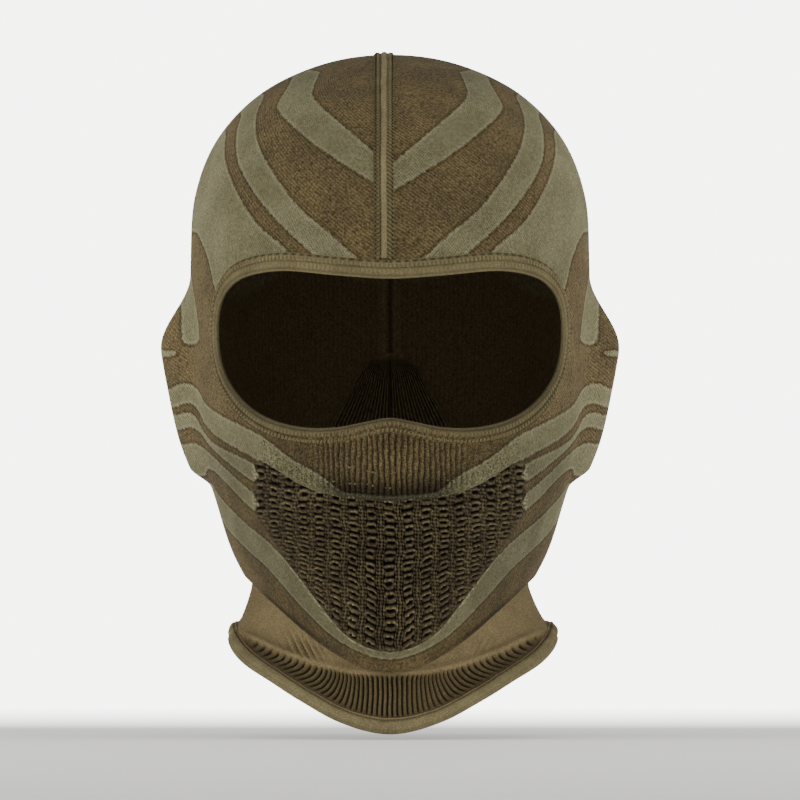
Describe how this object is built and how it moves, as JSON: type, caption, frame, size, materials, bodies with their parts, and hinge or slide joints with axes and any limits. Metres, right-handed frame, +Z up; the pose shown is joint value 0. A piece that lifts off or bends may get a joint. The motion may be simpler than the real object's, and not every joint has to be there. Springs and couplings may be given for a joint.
{
  "type": "balaclava",
  "caption": "Knitted balaclava with camouflage bands, a bound eye opening, a ribbed nose, a mesh mouth panel and a flared ribbed collar with a bound hem.",
  "frame": {"origin": "midway between the wearer's ears, where the head holds the mask", "axes": "+Z up to the crown, -Y the way the face looks, +X the wearer's left"},
  "size_m": [0.1836, 0.2159, 0.2716],
  "materials": {
    "jacquard_knit": "matt fine-gauge nylon and elastane jacquard knit, brown with olive-green bands",
    "rib_knit": "matt brown rib knit",
    "mesh_knit": "matt dark brown openwork knit with raised cords",
    "binding_tape": "smooth folded elastic tape, soft sheen",
    "thread": "polyester sewing thread, slight sheen"
  },
  "bodies": {
    "hood": {"hood_right": "jacquard_knit", "hood_left": "jacquard_knit", "chin_panel": "jacquard_knit", "mouth_mesh_panel": "mesh_knit", "nape_rib_right": "rib_knit", "nape_rib_left": "rib_knit", "eye_binding_upper": "binding_tape", "eye_stitches_upper": "thread", "crown_seam_cord": "binding_tape", "crown_stitches_right": "thread", "crown_stitches_left": "thread"},
    "nose_cover": {"nose_rib_panel": "rib_knit", "eye_binding_lower": "binding_tape", "eye_stitches_lower": "thread"},
    "collar": {"collar_front_rib": "rib_knit", "collar_left": "jacquard_knit", "collar_right": "jacquard_knit", "collar_back_seam": "binding_tape", "hem_binding": "binding_tape", "hem_stitches": "thread"}
  },
  "joints": [
    {"name": "nose_cover_pull", "type": "slide", "parent": "hood", "child": "nose_cover", "axis": [0, -0.3987, -0.9171], "range_m": [0, 0.045]},
    {"name": "neck_nod", "type": "hinge", "parent": "hood", "child": "collar", "pos_m": [0, 0.01, -0.095], "axis": [1, 0, 0], "range_deg": [-8, 12], "stiffness_Nm_per_rad": 0.4}
  ]
}
